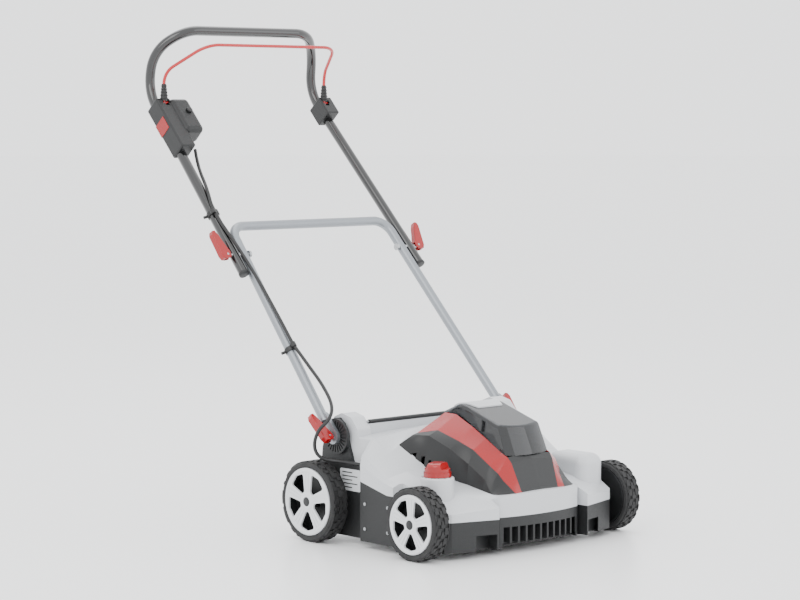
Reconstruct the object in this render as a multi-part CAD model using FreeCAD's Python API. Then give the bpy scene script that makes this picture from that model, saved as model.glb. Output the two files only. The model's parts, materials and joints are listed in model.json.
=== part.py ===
import FreeCAD, Part
import math
import os

# Battery lawn scarifier: four wheels, a hooded body and a folding handle.
# Millimetres. +Z is up, the ground is Z 0, the front is -Y and the handle is at +Y.
# The origin is on the ground, midway between the axles and on the middle plane.

os.makedirs("parts", exist_ok=True)

# ---------------------------------------------------------------- driving dimensions

# wheels and axles
overall_width = 588.0          # over the outer faces of the wheels
wheel_width = 42.0
wheelbase = 307.0
front_wheel_radius = 72.5
rear_wheel_radius = 82.5
tread_depth = 13.7             # from the tread to the edge of the rim cap
axle_radius = 6.0
running_fit = 0.06             # radial clearance of every turning fit
spoke_count = 5

# skirt and cover
body_half_width = 258.0        # at the bulge between the wheels
waist_half_width = 236.0       # beside the wheels
skirt_bottom = 14.0
wall = 3.0
chamber_half_width = 191.5
chamber_wall = 5.0
belt_x = 212.0                 # middle of the belt, in the left side pocket
seam_front = 74.0              # height of the joint between skirt and cover
seam_side = 114.0
seam_rear = 134.0
rear_wall_top = 158.0
body_rear = 200.0
wheel_clearance = 10.0

# rotor
rotor_y = -80.0
rotor_z = 58.0
rotor_shaft_radius = 8.0
blade_reach = 47.0
blade_thickness = 1.6
blade_count = 15
blade_pitch = 24.0
bearing_radius = 15.0
bearing_width = 10.0
rotor_pulley_radius = 28.0
motor_pulley_radius = 14.0
pulley_width = 14.0
belt_thickness = 3.0

# drive and battery
motor_y = 35.0
motor_z = 165.0
motor_radius = 38.0
motor_length = 150.0
pack_width = 92.0
pack_length = 112.0
pack_height = 62.0
lid_half_width = 60.0
lid_wall = 2.6

# handle
lower_tube_radius = 10.0
upper_tube_radius = 11.0
tube_wall = 1.6
pivot_y = 122.0
pivot_z = 214.0
disc_radius = 36.0
disc_inner_x = 236.0
disc_width = 7.0
lower_top_y = 486.6
lower_top_z = 625.9
lower_top_x = 222.0            # leg beside the cross tube
joint_y = 434.2
joint_z = 569.3
upper_foot = (251.5, 404.0, 533.0)
upper_knee = (233.0, 757.0, 915.0)
upper_shoulder = (228.0, 742.0, 1003.0)
upper_corner = (176.0, 697.0, 1047.0)
bail_radius = 3.6
bail_x = 230.0
bail_y = 703.0
bail_z = 889.0
bail_corner = (182.0, 610.0, 1014.0)
bolt_radius = 4.0
cable_radius = 3.6

# depth knob
knob_x = -202.0
knob_y = -135.0
boss_radius = 33.5
boss_top = 156.0
knob_radius = 27.5
knob_top = 184.0

front_axle_y = -wheelbase / 2
rear_axle_y = wheelbase / 2
wheel_inner_x = overall_width / 2 - wheel_width


# ---------------------------------------------------------------- shape helpers

def vec(x, y, z):
    return FreeCAD.Vector(x, y, z)


def save(name, shape):
    """Write one node, after checking that it is closed and has volume."""
    if not shape.isValid() or shape.Volume <= 0:
        raise ValueError(name + " is not a valid solid")
    shape.exportStep("parts/" + name + ".step")
    nodes[name] = shape


def one(shape):
    """The single solid that a boolean left, without its compound."""
    if len(shape.Solids) != 1:
        raise ValueError("expected one solid, got " + str(len(shape.Solids)))
    return shape.Solids[0]


def largest(shape):
    """The largest solid of a cut shape, without its loose offcuts."""
    return max(shape.Solids, key=lambda solid: solid.Volume)


def box(x0, x1, y0, y1, z0, z1):
    return Part.makeBox(x1 - x0, y1 - y0, z1 - z0, vec(x0, y0, z0))


def rod_x(radius, x0, x1, y, z):
    return Part.makeCylinder(radius, x1 - x0, vec(x0, y, z), vec(1, 0, 0))


def rod_z(radius, x, y, z0, z1):
    return Part.makeCylinder(radius, z1 - z0, vec(x, y, z0), vec(0, 0, 1))


def polygon(points):
    return Part.makePolygon([vec(*p) for p in points + [points[0]]])


def prism_x(outline, x0, x1):
    """An outline of (y, z) points pushed from x0 to x1."""
    face = Part.Face(polygon([(x0, y, z) for y, z in outline]))
    return face.extrude(vec(x1 - x0, 0, 0))


def prism_z(outline, z0, z1):
    """An outline of (x, y) points pushed from z0 to z1."""
    face = Part.Face(polygon([(x, y, z0) for x, y in outline]))
    return face.extrude(vec(0, 0, z1 - z0))


def mirror(shape):
    return shape.mirror(vec(0, 0, 0), vec(1, 0, 0))


def both_sides(half):
    """A closed outline from the points of its +X half, given from the middle plane outwards."""
    return half + [(-x, y) for x, y in reversed(half) if x > 0]


def loft(stations):
    """A solid through half sections, each from the bottom outer point to the top middle one."""
    wires = []
    for y, half in stations:
        ring = half + [(-x, z) for x, z in reversed(half) if x > 0]
        wires.append(polygon([(x, y, z) for x, z in ring]))
    return Part.makeLoft(wires, True, True)


def shrink(stations, side, down):
    """The same half sections, narrower by side and lower by down, for a hollow under a skin."""
    inner = []
    for y, half in stations:
        inner.append((y, [(max(x - side, 0.0), z - down) for x, z in half]))
    return inner


def rounded_path(points, radii):
    """Straight runs joined by tangent arcs, one radius for each inner point."""
    edges = []
    start = vec(*points[0])
    for before, corner, after, radius in zip(points, points[1:], points[2:], radii):
        p = vec(*corner)
        back = (vec(*before) - p).normalize()
        ahead = (vec(*after) - p).normalize()
        half_turn = (math.pi - back.getAngle(ahead)) / 2
        reach = radius * math.tan(half_turn)
        bisector = (back + ahead).normalize()
        arc_start = p + back * reach
        arc_end = p + ahead * reach
        middle = p + bisector * (radius / math.cos(half_turn) - radius)
        edges.append(Part.LineSegment(start, arc_start).toShape())
        edges.append(Part.Arc(arc_start, middle, arc_end).toShape())
        start = arc_end
    edges.append(Part.LineSegment(start, vec(*points[-1])).toShape())
    return Part.Wire(edges)


def sweep(path, radius):
    """A round bar along a smooth path."""
    first = path.Edges[0]
    start = first.valueAt(first.FirstParameter)
    ahead = first.tangentAt(first.FirstParameter)
    ring = Part.Wire(Part.makeCircle(radius, start, ahead))
    return path.makePipeShell([ring], True, False)


def tube(path, radius, thickness):
    """A round tube along a smooth path, open at both ends."""
    return sweep(path, radius).cut(sweep(path, radius - thickness))


def turned(profile, x):
    """A solid of revolution about the X axis from (x offset, radius) points."""
    wire = polygon([(x + dx, 0.0, r) for dx, r in profile])
    return Part.Face(wire).revolve(vec(x, 0, 0), vec(1, 0, 0), 360)


def pair(name, right):
    """Save a right-hand piece (-X) and its mirror image on the left."""
    save(name + "_right", right)
    save(name + "_left", mirror(right))


nodes = {}


# ---------------------------------------------------------------- wheels

def on_circle(radius, degrees):
    """The point of a circle round the origin, as (y, z)."""
    turn = math.radians(degrees)
    return (radius * math.cos(turn), radius * math.sin(turn))


def wheel(name, radius, y, z, side):
    """A wheel as tyre, core and rim cap; side is +1 at +X and -1 at -X."""
    cap_radius = radius - tread_depth
    inner = wheel_inner_x
    outer = overall_width / 2
    edge = 5.0
    tyre = turned([
        (0.0, cap_radius), (0.0, radius - edge), (edge, radius), (wheel_width - edge - 2.0, radius),
        (wheel_width - 2.0, radius - edge), (wheel_width - 2.0, cap_radius)], inner)
    rim_wall = 4.0
    web_start = 8.0
    web_end = 14.0
    hub_radius = 14.0
    hub_end = 24.0
    bore = axle_radius + running_fit
    core = turned([
        (1.0, bore), (1.0, hub_radius), (web_start, hub_radius + 4.0), (web_start, cap_radius - rim_wall),
        (1.0, cap_radius - rim_wall), (1.0, cap_radius), (wheel_width - 8.0, cap_radius),
        (wheel_width - 8.0, cap_radius - rim_wall), (web_end, cap_radius - rim_wall),
        (web_end, hub_radius), (hub_end, hub_radius), (hub_end, bore)], inner)
    cap_back = wheel_width - 6.0
    spoke_face = wheel_width - 2.0
    rim = cap_radius - 0.3
    cap = turned([
        (cap_back, 0.0), (wheel_width, 0.0), (wheel_width, rim * 0.22), (spoke_face, rim * 0.27),
        (spoke_face, rim * 0.87), (wheel_width, rim * 0.90), (wheel_width, rim * 0.96),
        (wheel_width - 2.0, rim), (cap_back, rim)], inner)
    window_corners = [(0.31, -13.0), (0.60, -20.5), (0.84, -23.0), (0.87, 0.0), (0.84, 23.0), (0.60, 20.5),
                      (0.31, 13.0)]
    groove = [(0.29, 2.6), (0.83, 3.4)]
    cuts = []
    for i in range(spoke_count):
        spoke = 90.0 + 360.0 / spoke_count * i
        middle = spoke + 180.0 / spoke_count
        outline = [on_circle(cap_radius * share, middle + turn) for share, turn in window_corners]
        window = prism_x(outline, inner + 20.0, outer + 1.0)
        window_edges = [e for e in window.Edges if e.BoundBox.YLength + e.BoundBox.ZLength < 1e-6]
        cuts.append(window.makeFillet(cap_radius * 0.07, window_edges))
        for side_sign in (-1, 1):
            line = []
            for share, offset in groove + [(share, offset + 1.2) for share, offset in reversed(groove)]:
                along = math.radians(spoke)
                r = cap_radius * share
                y_off = side_sign * offset
                line.append((r * math.cos(along) - y_off * math.sin(along),
                             r * math.sin(along) + y_off * math.cos(along)))
            cuts.append(prism_x(line, inner + spoke_face - 0.9, outer + 1.0))
    cap = cap.cut(cuts)
    place = vec(0, y, z)
    for node, shape in (("tyre", tyre), ("core", core), ("cap", cap)):
        shape = shape.Solids[0]
        shape = shape if side > 0 else mirror(shape)
        save(name + "_" + node, shape.translated(place))


corners = [("front", front_wheel_radius, front_axle_y), ("rear", rear_wheel_radius, rear_axle_y)]
for corner, wheel_radius, wheel_y in corners:
    wheel(corner + "_wheel_left", wheel_radius, wheel_y, wheel_radius, 1)
    wheel(corner + "_wheel_right", wheel_radius, wheel_y, wheel_radius, -1)


# ---------------------------------------------------------------- axles

axle_end = wheel_inner_x + 31.0


def axle(y, z):
    return rod_x(axle_radius, -axle_end, axle_end, y, z)


save("rear_axle", axle(rear_axle_y, rear_wheel_radius))

arm_pivot_y = -96.0
arm_pivot_z = 98.0
arm_inner_x = waist_half_width + 1.5
arm_width = 8.0
arm_radius = 12.0
arm_pin_radius = 5.0


def bar_between(y0, z0, y1, z1, radius, x0, x1):
    """A flat link with round ends, pushed along X."""
    long_way = vec(0, y1 - y0, z1 - z0)
    across = vec(0, -(z1 - z0), y1 - y0).normalize() * radius
    a = vec(x0, y0, z0)
    b = a + long_way
    flat = Part.Face(Part.makePolygon([a + across, b + across, b - across, a - across, a + across]))
    link = flat.extrude(vec(x1 - x0, 0, 0))
    return link.fuse([rod_x(radius, x0, x1, y0, z0), rod_x(radius, x0, x1, y1, z1)]).removeSplitter()


arm_outer_x = arm_inner_x + arm_width
arm = bar_between(arm_pivot_y, arm_pivot_z, front_axle_y, front_wheel_radius, arm_radius, arm_inner_x, arm_outer_x)
arm_bore = rod_x(arm_pin_radius + running_fit, arm_inner_x - 1, arm_outer_x + 1, arm_pivot_y, arm_pivot_z)
arm = arm.cut(arm_bore)
front_axle = axle(front_axle_y, front_wheel_radius).fuse([arm, mirror(arm)])
save("front_axle", one(front_axle))


# ---------------------------------------------------------------- body outline and skin

front_bow = 232.0              # how far the middle of the front bows out
front_bow_edge = (110.0, -217.0)
front_recess = (124.0, -205.0)
block_inner = (125.6, -231.0)
block_outer = (225.0, -200.0)
bulge_front = front_axle_y + front_wheel_radius + wheel_clearance
bulge_rear = 30.0


def body_outline(inset):
    """The body in plan, as a closed face, drawn in by inset all round."""
    half = [front_bow_edge, front_recess, block_inner, block_outer, (waist_half_width, -190.0),
            (waist_half_width, bulge_front - 2.0), (body_half_width, bulge_front + 4.0),
            (body_half_width, bulge_rear), (waist_half_width, bulge_rear + 1.0), (waist_half_width, body_rear)]
    points = [vec(x, y, 0) for x, y in half]
    mirrored = [vec(-p.x, p.y, 0) for p in reversed(points)]
    bow = Part.Arc(mirrored[-1], vec(0, -front_bow, 0), points[0]).toShape()
    edges = [bow]
    ring = points + mirrored
    for a, b in zip(ring, ring[1:]):
        edges.append(Part.LineSegment(a, b).toShape())
    wire = Part.Wire(edges)
    if inset:
        wire = wire.makeOffset2D(-inset, 2)
    return Part.Face(wire)


def body_prism(inset, z0, z1):
    return body_outline(inset).translated(vec(0, 0, z0)).extrude(vec(0, 0, z1 - z0))


sky = 400.0                    # above everything on the body
skin_base = 40.0
# half sections of the cover's top, from the outer edge to the middle
skin = [
    (-240.0, [(262, 64), (235, 74), (127, 92), (112, 115), (0, 119)]),
    (-200.0, [(262, 84), (235, 88), (130, 108), (114, 118), (0, 124)]),
    (-150.0, [(262, 108), (235, 118), (180, 122), (116, 126), (0, 140)]),
    (-97.0, [(262, 124), (240, 132), (180, 134), (114, 135), (0, 160)]),
    (-42.0, [(262, 134), (250, 146), (200, 156), (148, 160), (0, 200)]),
    (-8.0, [(262, 142), (252, 166), (215, 190), (187, 204), (0, 226)]),
    (22.0, [(262, 148), (254, 184), (226, 218), (128, 229), (0, 240)]),
    (60.0, [(262, 150), (254, 184), (226, 216), (128, 222), (0, 226)]),
    (100.0, [(262, 152), (254, 186), (226, 216), (128, 222), (0, 226)]),
]
skin = [(y, [(half[0][0], skin_base)] + half) for y, half in skin]
seam = [(-260.0, seam_front), (-170.0, seam_front), (-118.0, seam_side), (-49.0, seam_side),
        (bulge_rear, seam_rear), (bulge_rear + 1.0, rear_wall_top), (body_rear + 60.0, rear_wall_top)]
below_seam = prism_x(seam + [(body_rear + 60.0, -20.0), (-260.0, -20.0)], -300.0, 300.0)

# shoulders that carry the handle, and the cross beam between them
shoulder_inner_x = 192.0
shoulder_outer_x = 228.0
beam_y = 80.0
beam_top = 240.0
beam_thickness = 8.0
shoulder_side = [(71, rear_wall_top), (67, 200), (72, 232), (92, 254), (120, 261), (142, 252), (162, 228),
                 (174, 190), (176, rear_wall_top)]
bracket_side = [(76, rear_wall_top), (97, 214), (106, 240), (122, 252), (142, 248), (160, 224),
                (170, 188), (173, rear_wall_top)]


def rounded_prism_x(outline, x0, x1, radius):
    """A prism along X whose long edges are rounded."""
    solid = prism_x(outline, x0, x1)
    long_edges = [e for e in solid.Edges if abs(e.Length - abs(x1 - x0)) < 1e-6]
    upper = [e for e in long_edges if e.CenterOfMass.z > rear_wall_top + 4]
    return solid.makeFillet(radius, upper)


shoulder = rounded_prism_x(shoulder_side, -shoulder_outer_x, -shoulder_inner_x, 9.0)
boss = rod_z(boss_radius, knob_x, knob_y, 100.0, boss_top)
boss = boss.makeFillet(4.0, [e for e in boss.Edges if e.CenterOfMass.z > boss_top - 1])
dome_x = (166.0, waist_half_width)
dome_y = (-178.0, -70.0)
dome_top = 167.0
dome_base = 90.0
dome_round = 22.0


def dome_form(inset):
    """The rounded cover over the belt, or the room inside it."""
    form = box(dome_x[0] + inset, dome_x[1] - inset, dome_y[0] + inset, dome_y[1] - inset,
               dome_base - 2 * inset, dome_top - inset)
    return form.makeFillet(dome_round - inset, [e for e in form.Edges if e.CenterOfMass.z > dome_base + 1.0])



skin_end = 90.0
skin_solid = loft(skin).common(body_prism(0.0, skin_base, sky))
skin_solid = skin_solid.common(box(-300, 300, -300, skin_end, 0, sky))
step_y = bulge_rear + 1.5
step_back = [box(-300, -shoulder_outer_x, step_y, 300, 0, sky), box(shoulder_outer_x, 300, step_y, 300, 0, sky)]
skin_solid = skin_solid.cut(Part.makeCompound(step_back))
beam_front = beam_y - beam_thickness / 2
beam = box(-shoulder_inner_x - 1, shoulder_inner_x + 1, beam_front, beam_front + beam_thickness, 200.0, beam_top)
cover_solid = skin_solid.fuse([shoulder, mirror(shoulder), boss, beam])


# ---------------------------------------------------------------- cover shell

hood_rear_y = -8.0
inner_skin = loft(shrink(skin, wall, wall)).common(body_prism(wall, 0.0, sky))
inner_skin = inner_skin.common(box(-300, 300, -300, beam_front, 0, sky))
kept_sides = [box(-300, wall - shoulder_outer_x, step_y - wall, 300, 0, sky),
              box(shoulder_outer_x - wall, 300, step_y - wall, 300, 0, sky)]
inner_skin = inner_skin.cut(Part.makeCompound(kept_sides))
boss_hollow = rod_z(boss_radius - wall, knob_x, knob_y, 0.0, boss_top - wall)
shoulder_hollow = [(80, 0), (80, 200), (86, 226), (98, 245), (120, 251), (137, 244), (152, 224),
                   (164, 188), (164, 0)]
shoulder_room = prism_x(shoulder_hollow, -shoulder_outer_x + wall, -shoulder_inner_x - wall)
hood_opening = both_sides([(58, -212), (84, -204), (108, -190), (108, -100), (140, -48), (172, -18), (172, -14)])
cover = cover_solid.cut([
    below_seam, inner_skin, boss_hollow, shoulder_room, mirror(shoulder_room),
    prism_z(hood_opening, 0.0, sky), rod_z(6.0 + running_fit, knob_x, knob_y, 0.0, sky)])
behind_beam = box(-shoulder_inner_x, shoulder_inner_x, beam_front + beam_thickness, 300, 0, sky)
cover = cover.cut(behind_beam)
bolt_hole = bolt_radius + running_fit
shoulder_hole = rod_x(bolt_hole, -shoulder_outer_x - 1.0, -shoulder_outer_x + wall + 1.0, pivot_y, pivot_z)
cover = cover.cut([shoulder_hole, mirror(shoulder_hole)])
dome_shell = dome_form(0.0).cut(dome_form(wall))
dome_footprint = box(dome_x[0] + 8, dome_x[1] - 8, dome_y[0] + 8, dome_y[1] - 8, 0, sky)
belt_cover = dome_shell.cut(cover_solid)
belt_cover = largest(belt_cover)
cover = cover.cut(dome_footprint)

# lid hinge bracket on the cover
hinge_y = 8.0
hinge_z = 246.0
hinge_pin_radius = 2.5
knuckle_radius = 5.5
knuckle_x = 28.0
knuckle = rod_x(knuckle_radius, -knuckle_x, knuckle_x, hinge_y, hinge_z)
knuckle = knuckle.fuse(box(-knuckle_x, knuckle_x, hinge_y - 3.0, hinge_y + 3.0, 231.0, hinge_z))
cover = cover.fuse(knuckle).cut(rod_x(hinge_pin_radius, -60, 60, hinge_y, hinge_z))
strip_radius = 4.3
strip_z = beam_top + 4.0
barrel_gap = 0.6
cover = cover.cut(rod_x(strip_radius + barrel_gap, 0.01 - shoulder_inner_x, shoulder_inner_x - 0.01,
                        beam_y, strip_z))
flap_rod_radius = 2.2
cover = cover.cut(rod_x(flap_rod_radius, -shoulder_inner_x - 8, shoulder_inner_x + 8, beam_y, strip_z))
save("top_cover", one(cover))
save("belt_cover", belt_cover)
save("lid_hinge_pin", rod_x(hinge_pin_radius, -knuckle_x - 20.0, knuckle_x + 20.0, hinge_y, hinge_z))

# ---------------------------------------------------------------- hood

hood_base = 60.0
# half sections: edge on the cover, ridge, edge of the trim strip, edge of the lid, middle
hood = [
    (-240.0, [(112, 96), (108, 98), (62, 108), (46, 108), (0, 112)]),
    (-218.0, [(114, 108), (111, 112), (70, 120), (52, 121), (0, 125)]),
    (-196.0, [(115, 115), (113, 120), (80, 142), (58, 175), (0, 180)]),
    (-187.0, [(115, 117), (111, 127), (86, 156), (60, 186), (0, 190)]),
    (-170.0, [(115, 119), (106, 144), (92, 170), (60, 193), (0, 197)]),
    (-126.0, [(114, 127), (109, 171), (95, 198), (60, 218), (0, 222)]),
    (-88.0, [(118, 138), (122, 198), (100, 213), (60, 238), (0, 242)]),
    (-40.0, [(150, 160), (136, 222), (111, 231), (60, 259), (0, 263)]),
    (hood_rear_y, [(187, 206), (150, 222), (137, 225), (60, 260), (0, 264)]),
]
trim_outer = [(62, -240), (70, -218), (80, -196), (86, -187), (92, -170), (95, -126), (100, -88), (111, -40),
              (137, hood_rear_y), (137, 10)]
trim_inner = [(46, -240), (52, -218), (58, -196), (60, -187), (60, 10)]
hood_wall = 3.0
hood_full = [(y, [(half[0][0], hood_base)] + half) for y, half in hood]
hood_outer = loft(hood_full).common(body_prism(0.5, hood_base, sky))
hood_inner = loft(shrink(hood_full, hood_wall, hood_wall)).common(body_prism(0.5 + hood_wall, 0, sky))
hood_inner = hood_inner.common(box(-300, 300, -300, hood_rear_y - hood_wall, 0, sky))
hood_shell = hood_outer.cut([hood_inner, cover_solid])
trim_plan = prism_z(trim_inner + list(reversed(trim_outer)), 0, sky)
side_plan = prism_z(trim_outer + [(300, 10), (300, -240)], 0, sky)
trim = max(hood_shell.common(trim_plan).Solids, key=lambda solid: solid.Volume)
side_panel = max(hood_shell.common(side_plan).Solids, key=lambda solid: solid.Volume)
vent_count = 6
vent_pitch = 11.5
vent_width = 5.0
vent_first_y = -26.0
for i in range(vent_count):
    y = vent_first_y - vent_pitch * i
    top = 188.0 - 0.62 * (vent_first_y - y)
    side_panel = side_panel.cut(box(90, 300, y - vent_width / 2, y + vent_width / 2, 100, top))
side_panel = largest(side_panel)
save("hood_trim_left", trim)
save("hood_trim_right", mirror(trim))
save("hood_side_panel_left", side_panel)
save("hood_side_panel_right", mirror(side_panel))
centre_plan = prism_z(both_sides(trim_inner[:4]), 0, sky)
lid_seat_y = -181.0
front_panel = hood_shell.common(centre_plan).common(box(-100, 100, -300, lid_seat_y, 0, sky))
save("front_panel", largest(front_panel))

# ---------------------------------------------------------------- lid

lid_front_radius = 170.0
lid_front_low = (-193.0, 186.0)
lid_front_high = (-168.0, 243.0)
lid_rear_high = (-46.0, 283.0)
lid_rear_y = 2.0
lid_rear_top = 262.0
lid_low = 187.0                # its lower edge, on the panel in front
lid_crest_round = 45.0
lid_edge_round = 8.0


def on_lid_rim(edge):
    """Whether an edge runs round the lid's top, at its front or sides."""
    bound = edge.BoundBox
    beside = bound.XLength < 8.0 and edge.CenterOfMass.y < lid_rear_y - 7.0
    before = bound.XLength > lid_half_width and bound.YMax < lid_front_high[0] + 28.0
    return bound.ZMin > lid_front_high[1] - 18.0 and (beside or before)


def lid_block(inset):
    """The lid's outer form, or the room inside it when inset is the wall."""
    rear = lid_rear_y - inset
    low = lid_low - inset
    before = -220.0
    slope = (lid_rear_high[1] - lid_front_high[1]) / (lid_rear_high[0] - lid_front_high[0])
    side = [(before, low), (before, lid_front_high[1] - inset + slope * (before - lid_front_high[0])),
            (lid_rear_high[0], lid_rear_high[1] - inset), (rear, lid_rear_top - inset), (rear, low)]
    block = prism_x(side, -lid_half_width + inset, lid_half_width - inset)
    crest = [e for e in block.Edges if e.BoundBox.YLength < 1e-6 and abs(e.CenterOfMass.y - lid_rear_high[0]) < 1e-6]
    block = block.makeFillet(lid_crest_round - inset, crest)
    lean = vec(0, lid_front_high[0] - lid_front_low[0], lid_front_high[1] - lid_front_low[1]).normalize()
    back = vec(0, lean.z, -lean.y) * lid_front_radius
    front = Part.makeCylinder(lid_front_radius - inset, 400, vec(0, *lid_front_low) + back - lean * 150, lean)
    # the sides lean in towards the top
    foot = lid_half_width - inset
    head = lid_half_width - 6.0 - inset
    half = [(foot, 150), (foot, 200), (head, 300)]
    outline = half + [(-x, z) for x, z in reversed(half)]
    section = polygon([(x, -300, z) for x, z in outline])
    form = block.common(front).common(Part.Face(section).extrude(vec(0, 400, 0)))
    return form.makeFillet(lid_edge_round - inset, [e for e in form.Edges if on_lid_rim(e)])


hood_below = hood_outer.common(box(-300, 300, -300, lid_rear_y, 0, sky))
lid = lid_block(0.0).cut([lid_block(lid_wall), hood_below, cover_solid])
lid = largest(lid)
for x0 in (-knuckle_x - 18.5, knuckle_x + 0.5):
    ear = rod_x(knuckle_radius, x0, x0 + 18.0, hinge_y, hinge_z)
    ear = ear.fuse(box(x0, x0 + 18.0, lid_rear_y - lid_wall, hinge_y, hinge_z - 2.5, hinge_z + 2.5))
    lid = lid.fuse(ear)
lid = lid.cut(rod_x(hinge_pin_radius + running_fit, -80, 80, hinge_y, hinge_z))
save("battery_lid", one(lid))
plate_outline = both_sides([(34, -78), (50, -44), (46, -20)])
plate_slab = prism_z(plate_outline, 200, sky)
plate_thickness = 2.5
plate_top = lid_block(-plate_thickness).cut(lid_block(0.0)).common(plate_slab)
save("lid_plate", largest(plate_top))

# ---------------------------------------------------------------- battery and its bay

pack_y = -158.0
pack_z = 160.0
bay_wall = 2.5
bay_gap = 1.0
bay_floor = pack_z - bay_wall
bay = box(-pack_width / 2 - bay_gap - bay_wall, pack_width / 2 + bay_gap + bay_wall,
          pack_y - bay_gap - bay_wall, pack_y + pack_length + bay_gap + bay_wall, bay_floor, 190.0)
bay = bay.cut(box(-pack_width / 2 - bay_gap, pack_width / 2 + bay_gap, pack_y - bay_gap,
                  pack_y + pack_length + bay_gap, pack_z, 200.0))
bay_legs = box(-20, 20, pack_y + 20, pack_y + pack_length - 20, 113.0, bay_floor)
save("battery_bay", one(bay.fuse(bay_legs).removeSplitter()))
pack = box(-pack_width / 2, pack_width / 2, pack_y, pack_y + pack_length, pack_z, pack_z + pack_height)
pack = pack.makeFillet(5.0, [e for e in pack.Edges if e.CenterOfMass.z > pack_z + 1])
grip = box(-30, 30, pack_y + 6, pack_y + 22, pack_z + pack_height - 4, pack_z + pack_height + 6)
save("battery_pack", one(pack.fuse(grip).removeSplitter()))

# ---------------------------------------------------------------- deck

roof_inner = 108.0
throat_y = 91.0
throat_top = 214.0
chamber_side = [(-196, -1), (-196, 64), (-165, 94), (-140, roof_inner), (throat_y, roof_inner),
                (throat_y, throat_top + 1.0), (260, throat_top + 1.0), (260, -1)]
chamber_front = -196.0
roof_outer = roof_inner + chamber_wall
throat_outer = throat_y - chamber_wall
chamber_outer_side = [(chamber_front - chamber_wall, skirt_bottom), (chamber_front - chamber_wall, 66),
                      (-168, 98), (-142, roof_outer), (throat_outer, roof_outer), (throat_outer, throat_top),
                      (260, throat_top), (260, skirt_bottom)]
chamber_outer_x = chamber_half_width + chamber_wall
chamber_room = prism_x(chamber_side, -chamber_half_width, chamber_half_width)
chamber_block = prism_x(chamber_outer_side, -chamber_outer_x, chamber_outer_x)
skirt_block = body_prism(0.0, skirt_bottom, sky).common(below_seam)
pocket = body_prism(wall, skirt_bottom + wall, sky)
deck = skirt_block.cut(pocket).fuse(chamber_block).cut(chamber_room)
flap_top = (89.0, 236.0)
flap_bottom = (198.0, 40.0)
flap_reach = vec(0, flap_bottom[0] - flap_top[0], flap_bottom[1] - flap_top[1]).normalize()
flap_normal = vec(0, -flap_reach.z, flap_reach.y)
flap_thickness = 4.0
behind_flap = prism_x([(flap_top[0] - 4.0, flap_top[1] + 10.0), (300, flap_top[1] + 10.0), (300, -5),
                       (flap_bottom[0] + 19.0, -5), (flap_bottom[0] + 1.0, flap_bottom[1] - 5.0),
                       (flap_top[0] + 3.0, flap_top[1])], -chamber_outer_x - 0.5, chamber_outer_x + 0.5)
deck = deck.cut([behind_flap, shoulder, mirror(shoulder)])
recess = box(130.0, 174.0, -260, chamber_front - chamber_wall - 0.5, skirt_bottom - 1, 45.0)
grille_count = 11
grille_pitch = 19.0
grille_rib = 5.0
grille_low = 22.0
grille_high = 54.0
grille_half = grille_pitch * grille_count / 2
fins = []
for i in range(grille_count - 1):
    x = (i + 1 - grille_count / 2) * grille_pitch
    fin = box(x - grille_rib / 2, x + grille_rib / 2, -260, chamber_front, grille_low, grille_high + 3.0)
    fins.append(fin.common(body_prism(0.0, skirt_bottom, sky)))
deck = deck.fuse(fins)
windows = [recess, mirror(recess), box(-grille_half, grille_half, -260, -206, 0, grille_low)]
for i in range(grille_count):
    x = (i - (grille_count - 1) / 2) * grille_pitch
    windows.append(box(x - (grille_pitch - grille_rib) / 2, x + (grille_pitch - grille_rib) / 2,
                       -260, -206, grille_low, grille_high))
axle_slot_width = axle_radius + 3.0
axle_slot_travel = 20.0
for side in (-1, 1):
    walls = [(chamber_half_width - 1, chamber_outer_x + 1), (waist_half_width - wall - 1, waist_half_width + 1)]
    for x0, x1 in walls:
        a, b = sorted((side * x0, side * x1))
        windows.append(box(a, b, front_axle_y - axle_slot_width, front_axle_y + axle_slot_width,
                           front_wheel_radius - axle_slot_travel, front_wheel_radius + axle_slot_travel))
        windows.append(rod_x(axle_radius, a, b, rear_axle_y, rear_wheel_radius))
    a, b = sorted((side * (chamber_half_width - 1), side * (chamber_outer_x + 1)))
    windows.append(rod_x(bearing_radius, a, b, rotor_y, rotor_z))
deck = deck.cut(windows)
for side in (-1, 1):
    a, b = sorted((side * (waist_half_width - wall), side * (arm_inner_x + arm_width)))
    deck = deck.fuse(rod_x(arm_pin_radius, a, b, arm_pivot_y, arm_pivot_z))
deck = largest(deck)
save("deck", deck)

# ---------------------------------------------------------------- rear flap

flap_half_width = shoulder_inner_x - 2.0
root_point = vec(0, flap_top[0], flap_top[1])
end_point = vec(0, flap_bottom[0], flap_bottom[1])
thick = flap_normal * flap_thickness
flap_points = [root_point, end_point, end_point - thick, root_point - thick]
flap = Part.Face(Part.makePolygon([p + vec(-flap_half_width, 0, 0) for p in flap_points + [root_point]]))
flap = flap.extrude(vec(2 * flap_half_width, 0, 0))
barrel = rod_x(strip_radius, -flap_half_width, flap_half_width, beam_y, strip_z)
neck_side = [(beam_y + 2, strip_z - 0.5), (beam_y + 2, strip_z + 3), (flap_top[0] + 2, flap_top[1] + 3),
             (flap_top[0] + 1, flap_top[1] - 3)]
neck = prism_x(neck_side, -flap_half_width, flap_half_width)
flap = flap.fuse([barrel, neck]).cut(rod_x(flap_rod_radius + running_fit, -300, 300, beam_y, strip_z))
save("rear_flap", one(flap.removeSplitter()))
flap_rod_half = shoulder_inner_x + wall - 0.5
save("rear_flap_rod", rod_x(flap_rod_radius, -flap_rod_half, flap_rod_half, beam_y, strip_z))

# ---------------------------------------------------------------- rotor and drive

def ring_x(outer, inner, x0, x1, y, z):
    return rod_x(outer, x0, x1, y, z).cut(rod_x(inner, x0 - 1, x1 + 1, y, z))


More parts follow.
